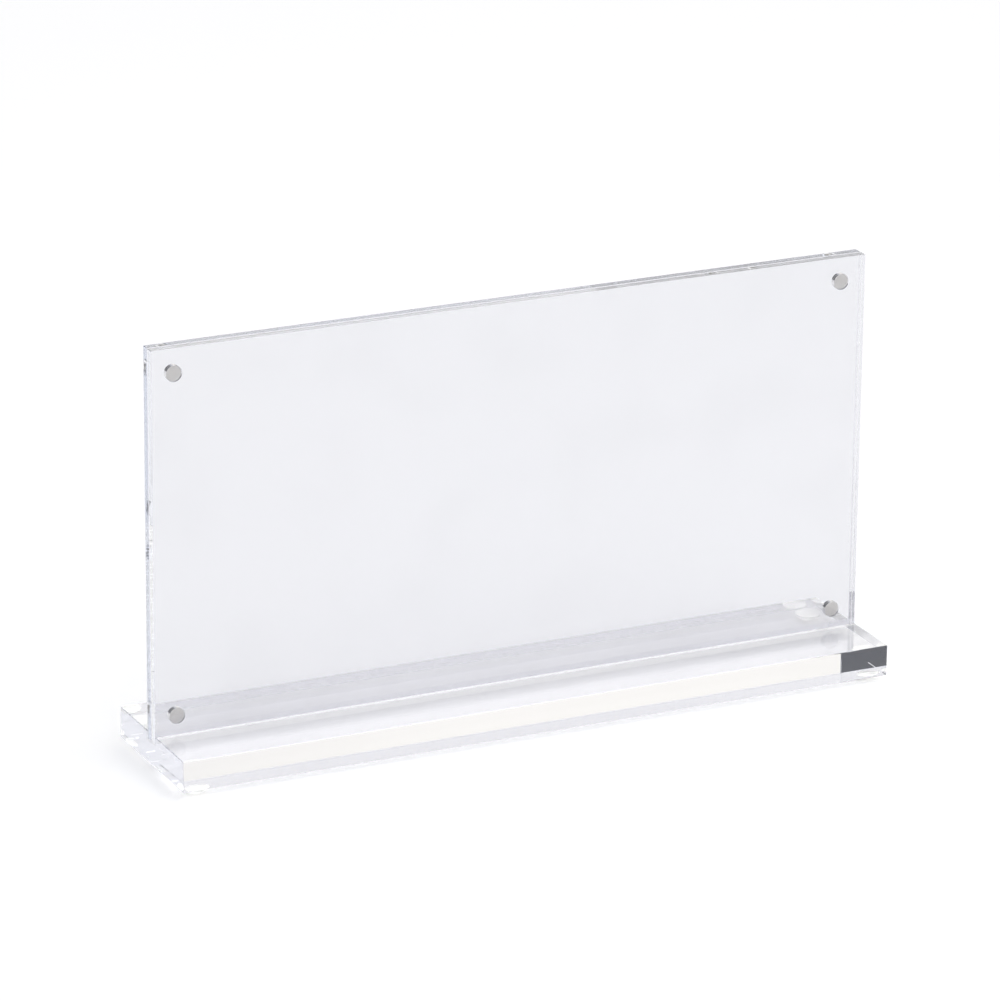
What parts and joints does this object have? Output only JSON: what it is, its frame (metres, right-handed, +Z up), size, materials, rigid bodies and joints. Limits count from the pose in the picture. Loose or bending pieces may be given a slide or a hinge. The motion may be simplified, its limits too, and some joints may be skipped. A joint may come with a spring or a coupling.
{
  "type": "magnetic acrylic photo stand",
  "caption": "Clear acrylic photo stand: a slotted base plate holds a wide picture panel and its cover panel upright, clamped by disc magnets at the corners, on stick-on bumper feet.",
  "frame": {"origin": "under the middle of the base, on the plane that the feet stand on", "axes": "+X to the right along the stand's width, +Y from front to back, +Z up"},
  "size_m": [0.24, 0.05, 0.1348],
  "materials": {
    "clear_acrylic": "polished clear cast acrylic",
    "nickel_plate": "satin nickel plating",
    "clear_bumper": "soft clear polyurethane",
    "clear_adhesive": "clear adhesive film"
  },
  "bodies": {
    "base": {"base": "clear_acrylic", "foot_front_left": "clear_bumper", "foot_front_right": "clear_bumper", "foot_rear_left": "clear_bumper", "foot_rear_right": "clear_bumper", "foot_adhesive_front_left": "clear_adhesive", "foot_adhesive_front_right": "clear_adhesive", "foot_adhesive_rear_left": "clear_adhesive", "foot_adhesive_rear_right": "clear_adhesive"},
    "rear_panel": {"rear_panel": "clear_acrylic", "rear_magnet_top_left": "nickel_plate", "rear_magnet_top_right": "nickel_plate", "rear_magnet_bottom_left": "nickel_plate", "rear_magnet_bottom_right": "nickel_plate"},
    "front_panel": {"front_panel": "clear_acrylic", "front_magnet_top_left": "nickel_plate", "front_magnet_top_right": "nickel_plate", "front_magnet_bottom_left": "nickel_plate", "front_magnet_bottom_right": "nickel_plate"}
  },
  "joints": [
    {"name": "frame_lift", "type": "slide", "parent": "base", "child": "rear_panel", "axis": [0, 0, 1], "range_m": [0, 0.03]},
    {"name": "front_panel_lift", "type": "slide", "parent": "rear_panel", "child": "front_panel", "axis": [0, 0, 1], "range_m": [0, 0.13]}
  ]
}
